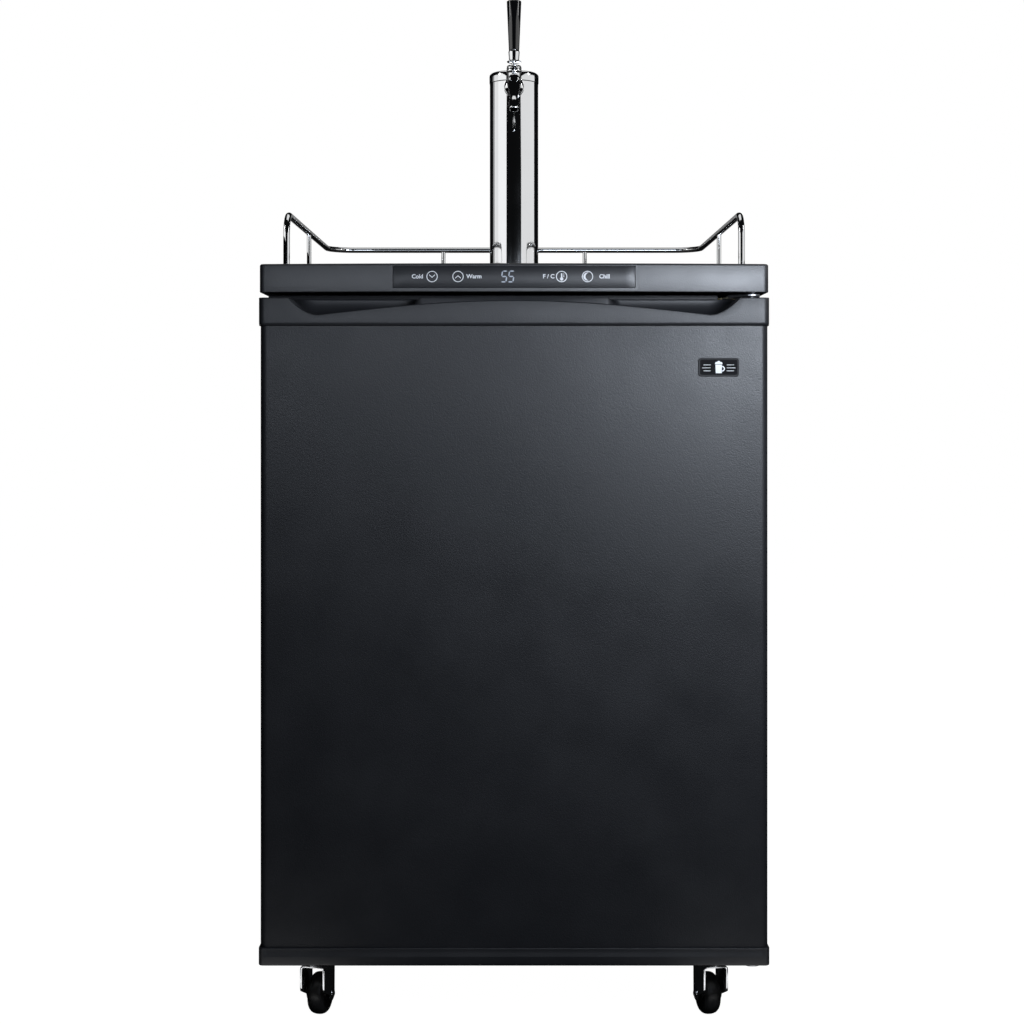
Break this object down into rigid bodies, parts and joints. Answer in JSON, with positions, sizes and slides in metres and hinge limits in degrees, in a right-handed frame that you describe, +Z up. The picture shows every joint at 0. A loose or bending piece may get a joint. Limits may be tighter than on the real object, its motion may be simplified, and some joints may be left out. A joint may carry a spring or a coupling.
{
  "type": "kegerator",
  "caption": "Freestanding black draught beer cooler on swivel casters, with a chrome tower and tap, guard rail, hinged insulated door and gas supply inside.",
  "frame": {"origin": "on the floor under the middle of the object", "axes": "+Z up, +X to the right of a person who faces the door, -Y towards that person"},
  "size_m": [0.6, 0.64, 1.2522],
  "materials": {
    "painted_cabinet": "satin",
    "painted_door": "satin",
    "black_plastic": "satin",
    "panel_plastic": "satin",
    "circuit_board": "satin",
    "chrome": "polished",
    "badge_metal": "satin",
    "handle_gloss": "gloss",
    "zinc_steel": "satin",
    "stainless_steel": "satin",
    "white_liner": "satin",
    "foam": "matte",
    "gasket_rubber": "matte",
    "wheel_rubber": "satin",
    "aluminium": "satin",
    "brass": "satin"
  },
  "bodies": {
    "root": {"side_panel_left": "painted_cabinet", "side_panel_right": "painted_cabinet", "front_frame": "painted_cabinet", "back_panel": "zinc_steel", "base_pan": "zinc_steel", "rear_cover": "painted_cabinet", "foam_insulation": "foam", "inner_liner": "white_liner", "cord_inlet": "black_plastic", "keg_plate": "stainless_steel", "top_cover": "black_plastic", "control_panel": "panel_plastic", "control_board": "circuit_board", "guard_rail": "chrome", "tower_flange": "chrome", "tower_column": "chrome", "tower_cap": "chrome", "faucet_shank": "stainless_steel", "shank_collar": "chrome", "coupling_nut": "chrome", "faucet_body": "chrome", "faucet_bonnet": "chrome", "top_hinge": "zinc_steel", "bottom_hinge": "zinc_steel", "compressor": "painted_cabinet", "condenser": "aluminium", "fan_shroud": "black_plastic", "evaporator_cover": "white_liner", "evaporator_coil": "aluminium", "co2_cylinder": "aluminium", "cylinder_strap": "stainless_steel", "cylinder_valve": "brass", "regulator_body": "chrome", "pressure_gauge": "chrome", "coupler_body": "chrome"},
    "door": {"door_skin": "painted_door", "door_foam": "foam", "door_liner": "white_liner", "door_gasket": "gasket_rubber", "door_top_trim": "black_plastic", "door_bottom_trim": "black_plastic", "badge": "badge_metal"},
    "tap": {"tap_lever": "chrome", "tap_ferrule": "chrome", "tap_handle": "handle_gloss"},
    "shaft": {"faucet_shaft": "stainless_steel"},
    "condenser_fan": {"condenser_fan": "black_plastic"},
    "evaporator_fan": {"evaporator_fan": "black_plastic"},
    "handwheel": {"valve_handwheel": "black_plastic"},
    "regulator_knob": {"regulator_knob": "black_plastic"},
    "coupler_lever": {"coupler_lever": "black_plastic"},
    "coupler_probe": {"coupler_probe": "chrome"},
    "caster_front_left": {"caster_front_left_fork": "zinc_steel"},
    "wheel_front_left": {"caster_front_left_wheel": "wheel_rubber"},
    "caster_front_right": {"caster_front_right_fork": "zinc_steel"},
    "wheel_front_right": {"caster_front_right_wheel": "wheel_rubber"},
    "caster_rear_left": {"caster_rear_left_fork": "zinc_steel"},
    "wheel_rear_left": {"caster_rear_left_wheel": "wheel_rubber"},
    "caster_rear_right": {"caster_rear_right_fork": "zinc_steel"},
    "wheel_rear_right": {"caster_rear_right_wheel": "wheel_rubber"}
  },
  "joints": [
    {"name": "door_hinge", "type": "hinge", "parent": "root", "child": "door", "pos_m": [0.282, -0.29, 0.475], "axis": [0, 0, 1], "range_deg": [0, 115]},
    {"name": "tap_pivot", "type": "hinge", "parent": "root", "child": "tap", "pos_m": [0, -0.15115, 1.1625], "axis": [1, 0, 0], "range_deg": [0, 25]},
    {"name": "shaft_slide", "type": "slide", "parent": "root", "child": "shaft", "axis": [0, 1, 0], "range_m": [0, 0.0056]},
    {"name": "condenser_fan_spin", "type": "hinge", "parent": "root", "child": "condenser_fan", "pos_m": [-0.06, 0.25175, 0.1323], "axis": [1, 0, 0], "continuous": true},
    {"name": "evaporator_fan_spin", "type": "hinge", "parent": "root", "child": "evaporator_fan", "pos_m": [0.075, 0.2519, 0.7357], "axis": [0, 1, 0], "continuous": true},
    {"name": "handwheel_turn", "type": "hinge", "parent": "root", "child": "handwheel", "pos_m": [-0.1997, 0.2259, 0.71], "axis": [0, 0, 1], "range_deg": [0, 720]},
    {"name": "regulator_knob_turn", "type": "hinge", "parent": "root", "child": "regulator_knob", "pos_m": [-0.1377, 0.2009, 0.677], "axis": [0, -1, 0], "range_deg": [-360, 360]},
    {"name": "coupler_lever_pivot", "type": "hinge", "parent": "root", "child": "coupler_lever", "pos_m": [0.15, 0.2037, 0.3846], "axis": [1, 0, 0], "range_deg": [0, 80]},
    {"name": "coupler_probe_slide", "type": "slide", "parent": "root", "child": "coupler_probe", "axis": [0, 0, -1], "range_m": [0, 0.0152]},
    {"name": "front_left_swivel", "type": "hinge", "parent": "root", "child": "caster_front_left", "pos_m": [-0.24, -0.252, 0.0655], "axis": [0, 0, 1], "continuous": true},
    {"name": "front_left_roll", "type": "hinge", "parent": "caster_front_left", "child": "wheel_front_left", "pos_m": [-0.23584, -0.23244, 0.025], "axis": [0.9781, -0.2079, 0], "continuous": true},
    {"name": "front_right_swivel", "type": "hinge", "parent": "root", "child": "caster_front_right", "pos_m": [0.24, -0.252, 0.0655], "axis": [0, 0, 1], "continuous": true},
    {"name": "front_right_roll", "type": "hinge", "parent": "caster_front_right", "child": "wheel_front_right", "pos_m": [0.23584, -0.23244, 0.025], "axis": [0.9781, 0.2079, 0], "continuous": true},
    {"name": "rear_left_swivel", "type": "hinge", "parent": "root", "child": "caster_rear_left", "pos_m": [-0.24, 0.262, 0.0655], "axis": [0, 0, 1], "continuous": true},
    {"name": "rear_left_roll", "type": "hinge", "parent": "caster_rear_left", "child": "wheel_rear_left", "pos_m": [-0.24416, 0.28156, 0.025], "axis": [0.9781, 0.2079, 0], "continuous": true},
    {"name": "rear_right_swivel", "type": "hinge", "parent": "root", "child": "caster_rear_right", "pos_m": [0.24, 0.262, 0.0655], "axis": [0, 0, 1], "continuous": true},
    {"name": "rear_right_roll", "type": "hinge", "parent": "caster_rear_right", "child": "wheel_rear_right", "pos_m": [0.24416, 0.28156, 0.025], "axis": [0.9781, -0.2079, 0], "continuous": true}
  ],
  "couplings": [
    {"joint": "shaft_slide", "follows": "tap_pivot", "m_per_rad": 0.0125},
    {"joint": "coupler_probe_slide", "follows": "coupler_lever_pivot", "m_per_rad": 0.0108}
  ]
}
